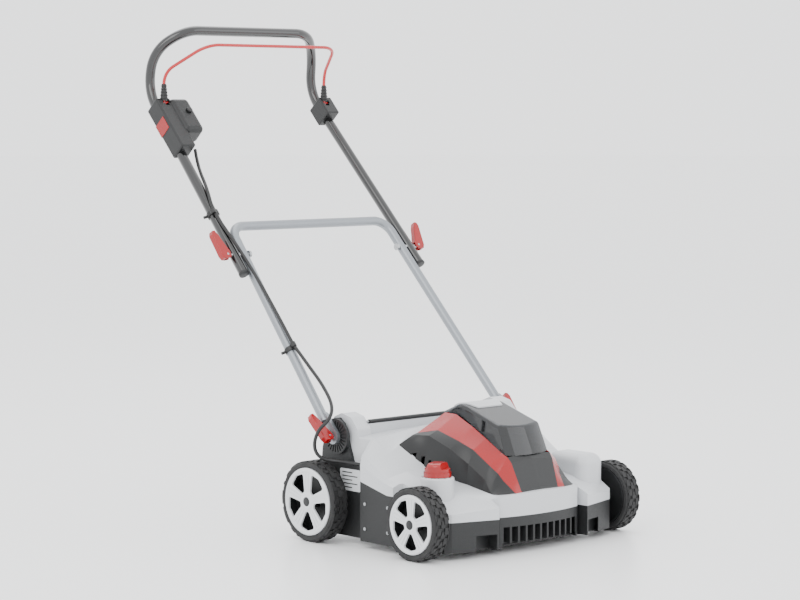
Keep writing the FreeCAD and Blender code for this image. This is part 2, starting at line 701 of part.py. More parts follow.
shaft_left = belt_x + pulley_width / 2 + 4.0
shaft_right = -chamber_outer_x - 6.0
save("rotor_shaft", rod_x(rotor_shaft_radius, shaft_right, shaft_left, rotor_y, rotor_z))
bearing_x = chamber_half_width + chamber_wall / 2
bearing = ring_x(bearing_radius, rotor_shaft_radius + running_fit, bearing_x - bearing_width / 2,
                 bearing_x + bearing_width / 2, rotor_y, rotor_z)
save("rotor_bearings", Part.makeCompound([bearing, mirror(bearing)]))
tooth_count = 3
spacer_radius = 13.0
blades = []
spacers = []
for i in range(blade_count):
    x = (i - (blade_count - 1) / 2) * blade_pitch
    turn = 40.0 * i
    outline = []
    for k in range(tooth_count):
        a = math.radians(360.0 / tooth_count * k + turn)
        outline.append((17.0 * math.cos(a - 0.75), 17.0 * math.sin(a - 0.75)))
        outline.append((blade_reach * math.cos(a - 0.05), blade_reach * math.sin(a - 0.05)))
        outline.append((blade_reach * math.cos(a + 0.10), blade_reach * math.sin(a + 0.10)))
        outline.append((17.0 * math.cos(a + 0.55), 17.0 * math.sin(a + 0.55)))
    placed = [(rotor_y + y, rotor_z + z) for y, z in outline]
    blade = prism_x(placed, x - blade_thickness / 2, x + blade_thickness / 2)
    blades.append(blade.cut(rod_x(rotor_shaft_radius, x - 5, x + 5, rotor_y, rotor_z)))
    if i:
        spacers.append(ring_x(spacer_radius, rotor_shaft_radius, x - blade_pitch + blade_thickness / 2,
                              x - blade_thickness / 2, rotor_y, rotor_z))
save("rotor_blades", Part.makeCompound(blades))
save("rotor_spacers", Part.makeCompound(spacers))
pulley_x0 = belt_x - pulley_width / 2
pulley_x1 = belt_x + pulley_width / 2
rotor_pulley = ring_x(rotor_pulley_radius, rotor_shaft_radius, pulley_x0, pulley_x1, rotor_y, rotor_z)
save("rotor_pulley", rotor_pulley)
motor_shaft_radius = 5.0
motor_pulley = ring_x(motor_pulley_radius, motor_shaft_radius, pulley_x0, pulley_x1, motor_y, motor_z)
save("motor_pulley", motor_pulley)
can_wall = 3.0
armature_radius = 31.0
armature_half_length = 52.0
can = rod_x(motor_radius, -motor_length / 2, motor_length / 2, motor_y, motor_z)
can_half = motor_length / 2 - can_wall
can = can.cut([rod_x(motor_radius - can_wall, -can_half, can_half, motor_y, motor_z),
               rod_x(motor_shaft_radius + running_fit, -300, 300, motor_y, motor_z)])
foot_top = motor_z - motor_radius * 0.7
feet = [box(x - 8, x + 8, motor_y - 24, motor_y + 24, roof_outer, foot_top) for x in (-50, 50)]
feet = Part.makeCompound(feet)
feet = feet.cut(rod_x(motor_radius - 0.5, -300, 300, motor_y, motor_z))
save("motor_can", one(can.fuse(feet.Solids).removeSplitter()))
armature = rod_x(motor_shaft_radius, -motor_length / 2 - 6.0, pulley_x1 + 3.0, motor_y, motor_z)
core = rod_x(armature_radius, -armature_half_length, armature_half_length, motor_y, motor_z)
armature = armature.fuse(core)
save("motor_armature", one(armature.removeSplitter()))


def belt_loop(grow):
    """The room inside the belt path, grown by grow from the pulleys."""
    span = math.hypot(motor_y - rotor_y, motor_z - rotor_z)
    heading = math.atan2(motor_z - rotor_z, motor_y - rotor_y)
    lean = math.acos((rotor_pulley_radius - motor_pulley_radius) / span)
    outline = []
    ends = [(rotor_y, rotor_z, rotor_pulley_radius, (-1, 1)), (motor_y, motor_z, motor_pulley_radius, (1, -1))]
    for y, z, radius, signs in ends:
        for sign in signs:
            a = heading + sign * lean
            outline.append((y + (radius + grow) * math.cos(a), z + (radius + grow) * math.sin(a)))
    loop = prism_x(outline, pulley_x0 + 2, pulley_x1 - 2)
    rounds = [rod_x(rotor_pulley_radius + grow, pulley_x0 + 2, pulley_x1 - 2, rotor_y, rotor_z),
              rod_x(motor_pulley_radius + grow, pulley_x0 + 2, pulley_x1 - 2, motor_y, motor_z)]
    return loop.fuse(rounds).removeSplitter()


belt_gap = 0.3
save("drive_belt", one(belt_loop(belt_gap + belt_thickness).cut(belt_loop(belt_gap))))

# ---------------------------------------------------------------- depth knob

knob_gap = 0.5
knob_skirt = 9.0
knob = rod_z(knob_radius, knob_x, knob_y, boss_top + knob_gap, boss_top + knob_gap + knob_skirt)
dome_edge = 9.0
crown = rod_z(knob_radius - 2.0, knob_x, knob_y, boss_top + knob_gap + knob_skirt, knob_top)
crown = crown.makeFillet(dome_edge, [e for e in crown.Edges if e.CenterOfMass.z > knob_top - 0.1])
cheek = 11.0
cheek_floor = knob_top - 11.0
for sign in (-1, 1):
    side = prism_x([(cheek, knob_top + 5), (cheek + 5.0, cheek_floor), (60, cheek_floor - 3.0), (60, knob_top + 5)],
                   knob_x - 60, knob_x + 60)
    side = side if sign > 0 else side.mirror(vec(0, 0, 0), vec(0, 1, 0))
    side = side.translated(vec(0, knob_y, 0))
    side.rotate(vec(knob_x, knob_y, 0), vec(0, 0, 1), 25.0)
    crown = crown.cut(side)
knob = knob.fuse(crown).removeSplitter()
save("depth_knob", one(knob))
cam_z0 = 118.0
cam_thickness = 9.0
spindle = rod_z(6.0, knob_x, knob_y, cam_z0, boss_top + knob_gap)
cam_disc = rod_z(17.0, knob_x, knob_y + 5.0, cam_z0, cam_z0 + cam_thickness)
save("depth_cam", one(spindle.fuse(cam_disc).removeSplitter()))

# ---------------------------------------------------------------- handle brackets

bracket = rounded_prism_x(bracket_side, -waist_half_width, -shoulder_outer_x, 6.0)
disc = rod_x(disc_radius, -disc_inner_x - disc_width, -disc_inner_x, pivot_y, pivot_z)
rib_count = 24
rib_depth = 2.5
grooves = []
for i in range(rib_count):
    groove = box(-disc_inner_x - disc_width - 1, -disc_inner_x - disc_width + rib_depth,
                 pivot_y + 17.0, pivot_y + disc_radius - 4.0, pivot_z - 1.5, pivot_z + 1.5)
    groove.rotate(vec(0, pivot_y, pivot_z), vec(1, 0, 0), 360.0 / rib_count * i)
    grooves.append(groove)
bracket = bracket.fuse(disc).cut(grooves).cut(rod_x(bolt_hole, -300, 0, pivot_y, pivot_z))
pair("handle_bracket", one(bracket.removeSplitter()))

# ---------------------------------------------------------------- lower handle bar

bar_run = vec(0, lower_top_y - pivot_y, lower_top_z - pivot_z).normalize()
bar_bend = 36.0
foot_thickness = 8.0
foot_radius = 15.0
foot_x = disc_inner_x + disc_width + 0.4
foot_length = 44.0
tube_start = vec(foot_x + foot_thickness / 2 + 1.0, pivot_y, pivot_z) + bar_run * (disc_radius + 2.0)
lower_points = [tuple(tube_start), (lower_top_x, lower_top_y, lower_top_z),
                (-lower_top_x, lower_top_y, lower_top_z), (-tube_start.x, tube_start.y, tube_start.z)]
lower_path = rounded_path(lower_points, [bar_bend, bar_bend])
lower_bar = tube(lower_path, lower_tube_radius, tube_wall)
foot_end = vec(0, pivot_y, pivot_z) + bar_run * foot_length
foot = bar_between(pivot_y, pivot_z, foot_end.y, foot_end.z, foot_radius, foot_x, foot_x + foot_thickness)
lower_bar = lower_bar.fuse([foot, mirror(foot)])
lower_bar = lower_bar.cut([rod_x(bolt_radius, -300, 300, pivot_y, pivot_z),
                           rod_x(bolt_hole, -300, 300, joint_y, joint_z)])
save("lower_bar", one(lower_bar))

# ---------------------------------------------------------------- upper handle

knee_bend = 90.0
shoulder_bend = 90.0
corner_bend = 75.0
right_points = [upper_foot, upper_knee, upper_shoulder, upper_corner]
upper_points = right_points + [(-x, y, z) for x, y, z in reversed(right_points)]
half_bends = [knee_bend, shoulder_bend, corner_bend]
upper_path = rounded_path(upper_points, half_bends + list(reversed(half_bends)))
upper_bar = tube(upper_path, upper_tube_radius, tube_wall)
upper_bar = upper_bar.cut(rod_x(bolt_radius, -300, 300, joint_y, joint_z))
save("upper_handle", one(upper_bar))
upper_solid = sweep(upper_path, upper_tube_radius)
leg_tilt = math.degrees(math.atan2(upper_knee[2] - upper_foot[2], upper_knee[1] - upper_foot[1]))
leg_share = (joint_z - upper_foot[2]) / (upper_knee[2] - upper_foot[2])
joint_tube_x = upper_foot[0] + (upper_knee[0] - upper_foot[0]) * leg_share

# ---------------------------------------------------------------- cam levers and bolts

lever_width = 15.0
lever_pin_radius = 2.5
lever_eye = 9.0
lever_outline = [(-8.5, 7), (-9, -3), (-5.5, -8), (4, -9.6), (12, -8.6), (16.5, -1), (18, 14), (20.5, 34), (22, 48),
                 (19, 56), (13, 57), (7, 46), (0, 27), (-5, 14)]
slot_half = bolt_radius + 0.4


def lever_set(pin_x, bolt_inner_x, y, z, direction):
    """A lever on the right side, and the bolt with the pin that the lever turns on."""
    outline = [(-u, t) for u, t in lever_outline]
    face = Part.Face(polygon([(u, t, -lever_width / 2) for u, t in outline]))
    body = face.extrude(vec(0, 0, lever_width))
    rim = [e for e in body.Edges if abs(abs(e.CenterOfMass.z) - lever_width / 2) < 1e-6]
    body = body.makeFillet(2.0, rim)
    body = body.cut([Part.makeCylinder(lever_pin_radius + running_fit, 60, vec(0, 0, -30)),
                     box(-7, 40, -30, 7, -slot_half, slot_half)])
    pin = Part.makeCylinder(lever_pin_radius, lever_width, vec(0, 0, -lever_width / 2))
    # local y runs along the lever, local z across it
    turn = math.degrees(math.atan2(direction.z, direction.y))
    for shape in (body, pin):
        shape.rotate(vec(0, 0, 0), vec(1, 0, 0), turn)
        shape.translate(vec(-pin_x, y, z))
    bolt = rod_x(bolt_radius, -pin_x - 3.0, -bolt_inner_x, y, z)
    head = rod_x(bolt_radius * 1.9, -bolt_inner_x, -bolt_inner_x + 5.0, y, z)
    return one(body), one(bolt.fuse([pin, head]).removeSplitter())


upper_lean = vec(0, math.cos(math.radians(leg_tilt + 12)), math.sin(math.radians(leg_tilt + 12)))
upper_pin_x = joint_tube_x + upper_tube_radius + lever_eye + 3.5
bolt_inset = lower_tube_radius / 2 + 2.5
upper_lever, upper_bolt = lever_set(upper_pin_x, lower_top_x - bolt_inset, joint_y, joint_z, upper_lean)
pair("upper_lever", upper_lever)
save("upper_bolts", Part.makeCompound([upper_bolt, mirror(upper_bolt)]))
lower_pin_x = foot_x + foot_thickness + lever_eye + 1.5
lower_lever, lower_bolt = lever_set(lower_pin_x, shoulder_outer_x - wall - 0.3, pivot_y, pivot_z, bar_run)
pair("lower_lever", lower_lever)
save("lower_bolts", Part.makeCompound([lower_bolt, mirror(lower_bolt)]))

# ---------------------------------------------------------------- bail and its carriers

pin_half = 12.0
bail_points = [(bail_x, bail_y, bail_z), (bail_x, bail_y, 955.0), bail_corner]
bail_points = bail_points + [(-x, y, z) for x, y, z in reversed(bail_points)]
bail = sweep(rounded_path(bail_points, [45.0, 50.0, 50.0, 45.0]), bail_radius)
for x in (-bail_x, bail_x):
    bail = bail.fuse(rod_x(bail_radius, x - pin_half, x + pin_half, bail_y, bail_z))
save("bail", one(bail.removeSplitter()))
boot_base = bail_z + 5.0
boot_radius = 8.5
boot = Part.makeCone(boot_radius, 5.2, 36.0, vec(bail_x, bail_y, boot_base))
boot = boot.cut(rod_z(bail_radius, bail_x, bail_y, 0, 2000))
save("bail_boots", Part.makeCompound([boot, mirror(boot)]))

carrier_centre = vec(236.4, 674.7, 826.0)


def on_leg(shape, side):
    """Turn a shape from leg axes (x outwards-in, y up the leg, z off its front) onto a leg."""
    placed = shape.copy()
    placed.rotate(vec(0, 0, 0), vec(1, 0, 0), leg_tilt)
    return placed.translated(vec(side * carrier_centre.x, carrier_centre.y, carrier_centre.z))


def bail_slot(side):
    """The bore and the slot that the bail turns in."""
    x = side * bail_x
    half_slot = bail_radius + 1.4
    slot = box(x - half_slot, x + half_slot, bail_y - 30, bail_y + 30, bail_z - bail_radius - 1.0, bail_z + 60)
    boot_room = box(x - boot_radius - 0.8, x + boot_radius + 0.8, bail_y - 30, bail_y + 30, bail_z, bail_z + 60)
    return [rod_x(bail_radius + running_fit, x - pin_half - 0.5, x + pin_half + 0.5, bail_y, bail_z), slot, boot_room]


def softened(solid, radius):
    return solid.makeFillet(radius, solid.Edges)


box_main = softened(box(-17, 21, -66, 73, -14, 30), 4.0)
box_lobe = softened(box(14, 66, -26, 70, -12, 36), 12.0)
box_gland = softened(box(24, 46, -58, -30, -4, 16), 3.0)
switch_box = on_leg(box_main.fuse([box_lobe, box_gland]).removeSplitter(), -1)
switch_box = switch_box.cut([upper_solid] + bail_slot(-1))
switch_box = largest(switch_box)
button_radius = 7.0
button_place = (48.0, 30.0)
button_travel = 4.0
box_face = 36.0
button_depth = 7.0
button_floor = box_face - button_depth - button_travel - 1.0
button_bore = Part.makeCylinder(button_radius + 0.1, 40, vec(button_place[0], button_place[1], button_floor))
switch_box = switch_box.cut(on_leg(button_bore, -1))
badge_outline = Part.Face(polygon([(-17.8, -6, -13), (-17.8, 26, -13), (-17.8, 26, 22), (-17.8, -6, 22)]))
badge = badge_outline.extrude(vec(0.8, 0, 0))
save("switch_box", one(switch_box))
save("switch_badge", on_leg(badge, -1))
button = Part.makeCylinder(button_radius, 12.0, vec(button_place[0], button_place[1], box_face - button_depth))
button = button.makeFillet(1.5, [button.Edges[0]])
save("lock_button", on_leg(button, -1))
clamp = on_leg(softened(box(-20, 16, 30, 78, -16, 30), 3.0), 1)
clamp = clamp.cut([upper_solid] + bail_slot(1))
save("bail_clamp", largest(clamp))

# ---------------------------------------------------------------- cable

# from the gland of the switch box, along the right leg, to the lower clip
cable_upper_points = [(-201.4, 630.9, 787.5), (-212, 609, 752), (-240, 540, 706), (-256.4, 500, 658.5),
                      (-243, 420, 575), (-238, 334, 479), (-240, 258, 392.6)]
# from the lower clip, past the lever in a loose loop, into the cover above the rear wheel
cable_lower_points = [(-239.9, 256.6, 391.2), (-235, 210, 347), (-238, 169, 317), (-252, 119, 279), (-274, 103, 253),
                      (-293, 118, 232), (-297, 127, 201), (-288, 125.4, 178), (-268, 116, 168.5), (-250, 92, 167),
                      (-241, bulge_rear + 1.5, 164)]


def natural_radii(points):
    """The largest radius at each inner point: 0.45 of the shorter run over the tangent of half the turn."""
    radii = []
    for before, corner, after in zip(points, points[1:], points[2:]):
        a = vec(*corner) - vec(*before)
        b = vec(*after) - vec(*corner)
        radii.append(0.45 * min(a.Length, b.Length) / math.tan(a.getAngle(b) / 2))
    return radii


def cable(name, points):
    radii = natural_radii(points)
    path = rounded_path(points, radii)
    solid = sweep(path, cable_radius)
    print(name, "radii", [round(r) for r in radii], "length", round(path.Length),
          "volume ratio", round(solid.Volume / (math.pi * cable_radius ** 2 * path.Length), 3))
    save(name, solid)


cable("cable_upper", cable_upper_points)
cable("cable_lower", cable_lower_points)


def clip(centre, direction, tube_radius, cable_centre):
    """A strap round the leg and the cable."""
    half = direction * 5.0
    around_tube = Part.makeCylinder(tube_radius + 2.4, 10.0, centre - half, direction)
    around_cable = Part.makeCylinder(cable_radius + 2.2, 10.0, cable_centre - half, direction)
    across = cable_centre - centre
    bridge = Part.makeCylinder(3.0, across.Length, centre, across)
    tail = Part.makeCylinder(3.2, tube_radius + 11.0, centre, vec(-0.9, 0.3, -0.3))
    strap = around_tube.fuse([around_cable, bridge, tail]).removeSplitter()
    return strap


upper_run = (vec(*upper_knee) - vec(*upper_foot)).normalize()
upper_run = vec(-upper_run.x, upper_run.y, upper_run.z)
upper_clip_centre = vec(-245.6, 513.5, 651.5)
lower_clip_centre = vec(-238.9, 266.7, 379.0)
upper_clip = clip(upper_clip_centre, upper_run, upper_tube_radius, vec(*cable_upper_points[3]))
upper_clip = upper_clip.cut([upper_solid, nodes["cable_upper"]])
save("cable_clip_upper", largest(upper_clip))
lower_clip = clip(lower_clip_centre, bar_run, lower_tube_radius, vec(*cable_lower_points[0]))
lower_solid = sweep(lower_path, lower_tube_radius)
lower_clip = lower_clip.cut([lower_solid, nodes["cable_upper"], nodes["cable_lower"]])
save("cable_clip_lower", largest(lower_clip))
print("nodes", len(nodes))
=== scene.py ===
import bpy
import json
import math
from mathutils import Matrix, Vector


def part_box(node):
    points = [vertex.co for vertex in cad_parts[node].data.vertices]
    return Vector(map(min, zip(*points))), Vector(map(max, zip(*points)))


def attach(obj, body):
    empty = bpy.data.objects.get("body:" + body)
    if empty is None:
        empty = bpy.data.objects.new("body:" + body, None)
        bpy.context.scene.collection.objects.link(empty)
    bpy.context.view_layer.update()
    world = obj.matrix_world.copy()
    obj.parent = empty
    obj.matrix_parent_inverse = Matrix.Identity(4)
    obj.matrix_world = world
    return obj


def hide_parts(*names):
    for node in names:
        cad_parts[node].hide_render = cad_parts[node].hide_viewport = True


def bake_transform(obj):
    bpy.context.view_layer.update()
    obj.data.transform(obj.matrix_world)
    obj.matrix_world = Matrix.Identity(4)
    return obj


bl_info = {
    "name": "Lawn Scarifier Pieces",
    "version": (1, 0, 0),
    "blender": (4, 5, 0),
    "location": "View3D > Sidebar > Scarifier",
    "description": "Builds the visible pieces and finishes of a battery lawn scarifier",
    "category": "Object",
}

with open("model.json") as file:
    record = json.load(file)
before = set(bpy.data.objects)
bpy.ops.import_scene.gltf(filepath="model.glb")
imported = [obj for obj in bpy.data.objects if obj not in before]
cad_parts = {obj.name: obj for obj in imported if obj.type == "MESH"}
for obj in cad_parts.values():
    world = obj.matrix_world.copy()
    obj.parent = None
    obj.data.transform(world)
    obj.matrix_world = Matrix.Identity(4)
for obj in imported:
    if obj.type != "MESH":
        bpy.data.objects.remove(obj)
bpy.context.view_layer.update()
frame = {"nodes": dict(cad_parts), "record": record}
NODES = frame["nodes"]
MM = 0.001
SIDE_TURN = (0.0, math.pi / 2, 0.0)      # turns a drum's axis onto X


def linear(hex_colour):
    """Turn an sRGB hex colour into the linear colour that shaders use."""
    parts = [int(hex_colour[i:i + 2], 16) / 255 for i in (1, 3, 5)]
    return tuple(p / 12.92 if p <= 0.04045 else ((p + 0.055) / 1.055) ** 2.4 for p in parts)


# ------------------------------------------------------------------ sizes and colours

def millimetres(name, description, value):
    """A length that a user may change, kept in metres."""
    return bpy.props.FloatProperty(name=name, description=description, default=value * MM, min=0.0,
                                   unit="LENGTH", subtype="DISTANCE")


def finish_colour(name, description, hex_colour):
    """A colour that a user may change."""
    return bpy.props.FloatVectorProperty(name=name, description=description, default=linear(hex_colour),
                                         min=0.0, max=1.0, size=3, subtype="COLOR")


class ScarifierSizes(bpy.types.PropertyGroup):
    lug_depth: millimetres("Lug depth", "Height of the tread lugs over the tyre", 2.6)
    cord_diameter: millimetres("Cord diameter", "Diameter of the switch cable", 7.2)
    screw_radius: millimetres("Screw radius", "Radius of a housing screw head", 3.4)


class ScarifierColours(bpy.types.PropertyGroup):
    cover: finish_colour("Cover", "Light grey of the top cover", "#C4C6C9")
    skirt: finish_colour("Skirt", "Black of the lower skirt", "#1B1C1D")
    hood: finish_colour("Hood", "Black of the hood panels", "#121314")
    accent: finish_colour("Accent", "Red of the trims, knob and levers", "#98060B")
    tube: finish_colour("Tube", "Silver of the lower bar", "#8F9398")
    handle: finish_colour("Handle", "Black enamel of the top handle", "#0C0C0D")


# ------------------------------------------------------------------ nodes and materials

def add(tree, kind, inputs, **settings):
    """Add a node. Each input is a value, or the socket that feeds it."""
    made = tree.nodes.new(kind)
    for key, value in settings.items():
        setattr(made, key, value)
    for key, value in inputs.items():
        if isinstance(value, bpy.types.NodeSocket):
            tree.links.new(value, made.inputs[key])
        else:
            made.inputs[key].default_value = value
    return made


def new_material(name, roughness, metallic=0.0, **sockets):
    """A material whose shader has these values, and the tree, shader and object coordinates to build on."""
    made = bpy.data.materials.new(name)
    made.use_nodes = True
    tree = made.node_tree
    shader = tree.nodes["Principled BSDF"]
    shader.inputs["Roughness"].default_value = roughness
    shader.inputs["Metallic"].default_value = metallic
    for key, value in sockets.items():
        shader.inputs[key.replace("_", " ")].default_value = value
    place = add(tree, "ShaderNodeTexCoord", {}).outputs["Object"]
    return made, tree, shader, place


def shade(colour, factor):
    """A colour made lighter or darker, with full alpha."""
    return tuple(min(1.0, c * factor) for c in colour) + (1.0,)


def noise(tree, place, size_mm, detail, **inputs):
    """A noise pattern whose patches are about this size."""
    sockets = {"Vector": place, "Scale": 1 / (size_mm * MM), "Detail": detail}
    sockets.update({key.replace("_", " "): value for key, value in inputs.items()})
    return add(tree, "ShaderNodeTexNoise", sockets).outputs["Fac"]


def blend_colours(tree, factor, low, high):
    """The colour between two, by a factor from another node."""
    made = add(tree, "ShaderNodeMix", {0: factor, 6: low, 7: high}, data_type="RGBA")
    return made.outputs[2]


def set_relief(tree, shader, height, depth_mm, strength):
    """Let a pattern raise the surface by this depth."""
    relief = add(tree, "ShaderNodeBump", {"Height": height, "Distance": depth_mm * MM, "Strength": strength})
    tree.links.new(relief.outputs["Normal"], shader.inputs["Normal"])


def set_gloss(tree, shader, pattern, rough, **limits):
    """Let a pattern move the roughness between two values."""
    sockets = {"Value": pattern, "To Min": rough[0], "To Max": rough[1]}
    sockets.update({key.replace("_", " "): value for key, value in limits.items()})
    gloss = add(tree, "ShaderNodeMapRange", sockets)
    tree.links.new(gloss.outputs["Result"], shader.inputs["Roughness"])


def mottled(tree, shader, place, colour, size_mm, amount):
    """Let the colour drift by a small amount over patches of this size."""
    patch = noise(tree, place, size_mm, 3.0, Roughness=0.55)
    tone = blend_colours(tree, patch, shade(colour, 1 - amount), shade(colour, 1 + amount))
    tree.links.new(tone, shader.inputs["Base Color"])
    return tone


def grained(tree, shader, place, size_mm, depth_mm, rough, strength=0.6):
    """Give the surface a grain of this size, which shifts both its relief and its gloss."""
    grain = noise(tree, place, size_mm, 5.0, Roughness=0.62)
    set_gloss(tree, shader, grain, rough, From_Min=0.3, From_Max=0.7)
    set_relief(tree, shader, grain, depth_mm, strength)


def moulded_plastic(name, colour, size_mm, depth_mm, rough, drift, ior):
    """Injection-moulded plastic with the grain of its spark-eroded mould."""
    made, tree, shader, place = new_material(name, rough[0], IOR=ior)
    patch_mm = 90.0
    mottled(tree, shader, place, colour, patch_mm, drift)
    grained(tree, shader, place, size_mm, depth_mm, rough)
    return made


def coated_steel(name, colour, metallic, peel_mm, rough, coat):
    """Painted or powder-coated steel: the coat's orange peel bends the long highlights."""
    made, tree, shader, place = new_material(name, rough[0], metallic, Coat_Weight=coat, Coat_Roughness=0.08)
    patch_mm, drift = 40.0, 0.05
    peel_depth_mm, peel_strength = 0.05, 0.35
    mottled(tree, shader, place, colour, patch_mm, drift)
    grained(tree, shader, place, peel_mm, peel_depth_mm, rough, peel_strength)
    return made


def plated_steel(name, colour, roughness, scratch_mm):
    """Zinc-plated or ground steel: fine scratches run round the part and streak its gloss."""
    made, tree, shader, place = new_material(name, roughness, metallic=1.0)
    stretch = (12.0, 1.0, 1.0)
    along_mm = 10 * scratch_mm
    drawn_out = add(tree, "ShaderNodeMapping", {"Vector": place, "Scale": stretch})
    scratch = noise(tree, drawn_out.outputs["Vector"], along_mm, 6.0)
    tone = blend_colours(tree, scratch, shade(colour, 0.82), shade(colour, 1.1))
    tree.links.new(tone, shader.inputs["Base Color"])
    set_gloss(tree, shader, scratch, (roughness - 0.08, roughness + 0.14))
    set_relief(tree, shader, scratch, 0.03, 0.4)
    return made


def soft_rubber(name, colour, rough, bloom):
    """Rubber or soft PVC: dull, with a pale bloom in patches and a fine pitted skin."""
    made, tree, shader, place = new_material(name, rough[0], IOR=1.52)
    patch_mm, drift = 14.0, 0.12
    bloom_mm = 35.0
    bloom_colour = (0.22, 0.21, 0.20, 1.0)
    pit_mm, pit_depth_mm = 1.4, 0.08
    tone = mottled(tree, shader, place, colour, patch_mm, drift)
    dust = noise(tree, place, bloom_mm, 7.0, Roughness=0.7)
    amount = add(tree, "ShaderNodeMapRange",
                 {"Value": dust, "From Min": 0.48, "From Max": 0.8, "To Min": 0.0, "To Max": bloom})
    dusty = blend_colours(tree, amount.outputs["Result"], tone, bloom_colour)
    tree.links.new(dusty, shader.inputs["Base Color"])
    grained(tree, shader, place, pit_mm, pit_depth_mm, rough)
    return made


def smoked_clear(name, colour):
    """Polycarbonate sheet, tinted through: clear and glossy, with a faint ripple from the mould."""
    made, tree, shader, place = new_material(name, 0.05, IOR=1.585, Transmission_Weight=1.0)
    patch_mm, drift = 60.0, 0.04
    ripple_mm, ripple_depth_mm = 30.0, 0.1
    mottled(tree, shader, place, colour, patch_mm, drift)
    set_relief(tree, shader, noise(tree, place, ripple_mm, 2.0), ripple_depth_mm, 0.25)
    return made


ABS_IOR = 1.54
POLYPROPYLENE_IOR = 1.49


def build_materials(colours):
    """Every finish of the machine, by the name of the record's slot that it stands for."""
    cover = tuple(colours.cover)
    skirt = tuple(colours.skirt)
    hood = tuple(colours.hood)
    accent = tuple(colours.accent)
    tube = tuple(colours.tube)
    handle = tuple(colours.handle)
    return {
        # satin ABS: pale, with a soft sheen that the fine mould grain breaks up
        "cover_grey": moulded_plastic("ABS_light_grey", cover, size_mm=1.6, depth_mm=0.05,
                                      rough=(0.26, 0.36), drift=0.018, ior=ABS_IOR),
        # glass-filled polypropylene: dull black, the grain drawn at 2 mm so that it shows
        "skirt_black": moulded_plastic("polypropylene_black_grained", skirt, size_mm=2.0, depth_mm=0.16,
                                       rough=(0.42, 0.62), drift=0.06, ior=POLYPROPYLENE_IOR),
        "panel_black": moulded_plastic("polypropylene_black_satin", hood, size_mm=1.6, depth_mm=0.08,
                                       rough=(0.32, 0.48), drift=0.05, ior=POLYPROPYLENE_IOR),
        "core_black": moulded_plastic("polypropylene_black_core", linear("#191A1B"), size_mm=1.8, depth_mm=0.1,
                                      rough=(0.4, 0.55), drift=0.05, ior=POLYPROPYLENE_IOR),
        # glossy ABS, through-coloured red
        "trim_red": moulded_plastic("ABS_red_gloss", accent, size_mm=2.5, depth_mm=0.03,
                                    rough=(0.16, 0.26), drift=0.03, ior=ABS_IOR),
        "cap_grey": moulded_plastic("ABS_wheel_cap_grey", linear("#D4D6D8"), size_mm=1.6, depth_mm=0.05,
                                    rough=(0.26, 0.4), drift=0.02, ior=ABS_IOR),
        "lid_smoke": smoked_clear("polycarbonate_smoked", linear("#3E434B")),
        "tyre_black": soft_rubber("rubber_tyre", linear("#1C1C1D"), rough=(0.62, 0.82), bloom=0.10),
        "rubber_black": soft_rubber("PVC_soft_black", linear("#131314"), rough=(0.38, 0.55), bloom=0.03),
        # silver powder coat: metal flake under a dull lacquer
        "tube_silver": coated_steel("powder_coat_silver", tube, metallic=0.75, peel_mm=1.5,
                                    rough=(0.34, 0.46), coat=0.15),
        "tube_black": coated_steel("enamel_black", handle, metallic=0.0, peel_mm=3.0,
                                   rough=(0.07, 0.13), coat=0.8),
        "wire_red": coated_steel("powder_coat_red", linear("#B5161B"), metallic=0.0, peel_mm=1.5,
                                 rough=(0.26, 0.36), coat=0.3),
        "motor_metal": coated_steel("enamel_grey", linear("#4A4C4E"), metallic=0.2, peel_mm=1.5,
                                    rough=(0.35, 0.5), coat=0.1),
        "steel": plated_steel("zinc_plated_steel", linear("#B4B6B8"), roughness=0.28, scratch_mm=0.6),
        "blade_steel": plated_steel("spring_steel_ground", linear("#8D8F92"), roughness=0.34, scratch_mm=0.5),
    }


MATERIALS = {}


# ------------------------------------------------------------------ modelling helpers

def clear_selection():
    """Leave edit mode and deselect every object."""
    if bpy.context.object and bpy.context.object.mode != "OBJECT":
        bpy.ops.object.mode_set(mode="OBJECT")
    bpy.ops.object.select_all(action="DESELECT")


def bake_place():
    """Put the active object's place, turn and size into its mesh."""
    bpy.ops.object.transform_apply(location=True, rotation=True, scale=True)
    return bpy.context.object


def new_drum(radius, depth, place, turn=(0.0, 0.0, 0.0), vertices=32, ends="NGON"):
    """A cylinder to shape further, with its place in its mesh."""
    clear_selection()
    bpy.ops.mesh.primitive_cylinder_add(vertices=vertices, radius=radius, depth=depth, location=place,
                                        rotation=turn, end_fill_type=ends)
    return bake_place()


def new_block(size, place, turn=(0.0, 0.0, 0.0)):
    """A box to shape further, with its place in its mesh."""
    clear_selection()
    bpy.ops.mesh.primitive_cube_add(size=1.0, location=place, rotation=turn, scale=size)
    return bake_place()


def pick_faces(piece, test):
    """In edit mode, select only the faces whose middle and normal pass the test."""
    if piece.mode != "EDIT":
        bpy.ops.object.mode_set(mode="EDIT")
    bpy.ops.mesh.select_mode(type="FACE")
    bpy.ops.mesh.select_all(action="DESELECT")
    bpy.ops.object.mode_set(mode="OBJECT")
    for face in piece.data.polygons:
        face.select = test(face.center, face.normal)
    bpy.ops.object.mode_set(mode="EDIT")


def pick_edges(piece, test):
    """In edit mode, select only the edges whose two ends pass the test."""
    if piece.mode != "EDIT":
        bpy.ops.object.mode_set(mode="EDIT")
    bpy.ops.mesh.select_mode(type="EDGE")
    bpy.ops.mesh.select_all(action="DESELECT")
    bpy.ops.object.mode_set(mode="OBJECT")
    corners = piece.data.vertices
    for edge in piece.data.edges:
        edge.select = test(corners[edge.vertices[0]].co, corners[edge.vertices[1]].co)
    bpy.ops.object.mode_set(mode="EDIT")


def bevel(width, segments=2):
    """Round what is selected."""
    bpy.ops.mesh.bevel(offset=width, segments=segments, affect="EDGES", clamp_overlap=True)


